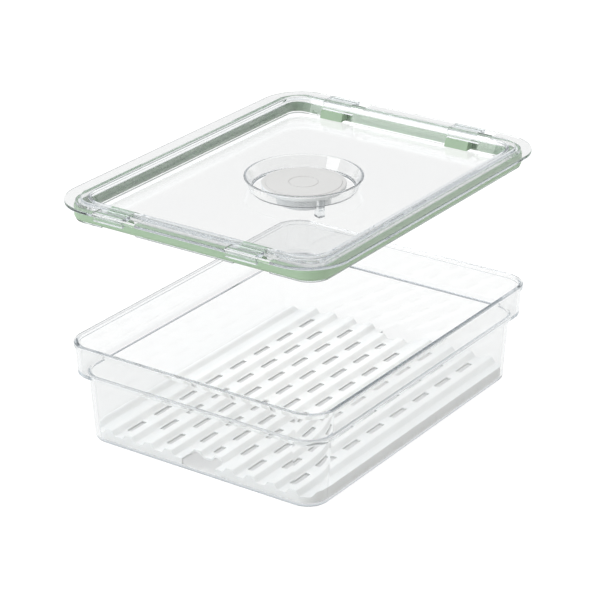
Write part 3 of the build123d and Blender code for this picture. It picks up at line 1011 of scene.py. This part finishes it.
def build_world():
    """White near the horizon, a dimmer band above it and a bright ceiling for what is mirrored.

    The camera sees plain white, and light that scatters comes from a plain fill.
    """
    world = bpy.data.worlds.new("studio")
    bpy.context.scene.world = world
    world.use_nodes = True
    world.node_tree.nodes.clear()
    graph = Graph(world.node_tree)
    way = graph.parts("Generated")
    ramp = graph.add("ShaderNodeValToRGB", {0: way["Z"]})
    stops = ramp.color_ramp.elements
    for stop in stops:
        stop.color = rgba(WHITE)
    for position, share in SKY_BANDS:
        stops.new(position).color = rgba(SKY_TINT, share)
    across = graph.between(way["X"], -FILL_REACH, FILL_REACH)
    tones = (graph.blend(across, rgba(LEFT_FILL), rgba(RIGHT_FILL)), ramp.outputs[0], rgba(WHITE))
    fill, mirrored, plain = (graph.add("ShaderNodeBackground", {"Color": tone}).outputs[0]
                             for tone in tones)
    ray, direct = seen_directly(graph)
    light = graph.mix(direct, fill, mirrored)
    graph.add("ShaderNodeOutputWorld", {"Surface": graph.mix(ray["Is Camera Ray"], light, plain)})


def build_floor(studio):
    """Pale floor that reads as white and keeps a soft shadow."""
    bm = bmesh.new()
    spot = Matrix.Translation((0, 0, CAD_BOX[0][2] - studio.floor_gap))
    bmesh.ops.create_grid(bm, x_segments=1, y_segments=1, size=studio.floor_size, matrix=spot)
    floor = finished("studio_floor", bm)
    material = bpy.data.materials.new("pale floor")
    material.use_nodes = True
    material.node_tree.nodes.clear()
    graph = Graph(material.node_tree)
    shadowed, matt = (graph.add("ShaderNodeBsdfDiffuse", {"Color": rgba(WHITE, share)}).outputs[0]
                      for share in (studio.floor_shadow, studio.floor_bounce))
    glow = graph.add("ShaderNodeEmission", {"Strength": studio.floor_glow}).outputs[0]
    both = graph.add("ShaderNodeAddShader", {0: shadowed, 1: glow}).outputs[0]
    _, direct = seen_directly(graph)
    graph.add("ShaderNodeOutputMaterial", {"Surface": graph.mix(direct, matt, both)})
    material.cycles.emission_sampling = "NONE"
    floor.data.materials.append(material)


def sight(eye, aim):
    """The turn that looks from the eye to the aim."""
    return (Vector(aim) - Vector(eye)).to_track_quat("-Z", "Y")


def add_softbox(name, spot, aim, width, watts):
    lamp = bpy.data.lights.new(name, "AREA")
    lamp.size = width
    lamp.energy = watts
    light = linked(name, lamp)
    light.visible_transmission = False
    light.location = spot
    light.rotation_euler = sight(spot, aim).to_euler()


def build_camera(studio):
    camera = bpy.data.cameras.new("product camera")
    camera.lens = studio.lens
    camera.sensor_width = 36
    camera.clip_end = 20
    holder = linked("product camera", camera)
    turn = sight(studio.eye, studio.aim).to_matrix() @ Matrix.Rotation(studio.roll, 3, "Z")
    holder.matrix_world = Matrix.Translation(studio.eye) @ turn.to_4x4()
    bpy.context.scene.camera = holder


class BIN_OT_finishes(bpy.types.Operator):
    """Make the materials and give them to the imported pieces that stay"""
    bl_idname = "storage_bin.finishes"
    bl_label = "Finishes"

    def execute(self, context):
        build_materials(settings().finish)
        dress_nodes()
        return {"FINISHED"}


class BIN_OT_bin(bpy.types.Operator):
    """Add the clear bin"""
    bl_idname = "storage_bin.bin"
    bl_label = "Bin"

    def execute(self, context):
        build_bin(settings().bin)
        return {"FINISHED"}


class BIN_OT_tray(bpy.types.Operator):
    """Add the corrugated drain tray"""
    bl_idname = "storage_bin.tray"
    bl_label = "Drain tray"

    def execute(self, context):
        build_tray(settings().tray)
        return {"FINISHED"}


class BIN_OT_lid(bpy.types.Operator):
    """Add the clear lid"""
    bl_idname = "storage_bin.lid"
    bl_label = "Lid"

    def execute(self, context):
        build_lid(settings().lid)
        return {"FINISHED"}


class BIN_OT_gasket(bpy.types.Operator):
    """Add the gasket with its tabs"""
    bl_idname = "storage_bin.gasket"
    bl_label = "Gasket"

    def execute(self, context):
        build_gasket(settings().lid)
        return {"FINISHED"}


class BIN_OT_clips(bpy.types.Operator):
    """Add the clear clips"""
    bl_idname = "storage_bin.clips"
    bl_label = "Clips"

    def execute(self, context):
        build_clips(settings().lid)
        return {"FINISHED"}


class BIN_OT_vent(bpy.types.Operator):
    """Add the vent's cup, dial, inlay and housing"""
    bl_idname = "storage_bin.vent"
    bl_label = "Vent"

    def execute(self, context):
        for build in (build_cup, build_dial, build_inlay, build_housing):
            build(settings().vent)
        return {"FINISHED"}


class BIN_OT_stage(bpy.types.Operator):
    """Add the floor, the light and the camera"""
    bl_idname = "storage_bin.stage"
    bl_label = "Stage"

    def execute(self, context):
        studio = settings().studio
        build_camera(studio)
        build_floor(studio)
        build_world()
        middle = (0, 0, 0.08)
        add_softbox("overhead softbox", (-0.3, 0.2, 1.6), middle, 1.6, studio.key)
        add_softbox("left softbox", (-0.9, -1.5, 0.8), middle, 0.9, studio.side)
        bpy.context.scene.view_settings.view_transform = "Standard"
        return {"FINISHED"}


class BIN_PT_panel(bpy.types.Panel):
    """Buttons that add each piece of the storage bin"""
    bl_idname = "BIN_PT_panel"
    bl_label = "Storage bin"
    bl_space_type = "VIEW_3D"
    bl_region_type = "UI"
    bl_category = "Storage bin"

    def draw(self, context):
        for operator in OPERATORS:
            self.layout.operator(operator.bl_idname)


OPERATORS = (BIN_OT_finishes, BIN_OT_bin, BIN_OT_tray, BIN_OT_lid, BIN_OT_gasket, BIN_OT_clips,
             BIN_OT_vent, BIN_OT_stage)
CLASSES = (BinSizes, TraySizes, LidSizes, VentSizes, FinishColours, StudioSettings, StorageBin,
           *OPERATORS, BIN_PT_panel)


def register():
    for item in CLASSES:
        bpy.utils.register_class(item)
    bpy.types.Scene.storage_bin = PointerProperty(type=StorageBin)


def unregister():
    del bpy.types.Scene.storage_bin
    for item in reversed(CLASSES):
        bpy.utils.unregister_class(item)


def main():
    register()
    bpy.ops.storage_bin.finishes()
    bpy.ops.storage_bin.bin()
    bpy.ops.storage_bin.tray()
    bpy.ops.storage_bin.lid()
    bpy.ops.storage_bin.gasket()
    bpy.ops.storage_bin.clips()
    bpy.ops.storage_bin.vent()
    bpy.ops.storage_bin.stage()


if __name__ == "__main__":
    main()
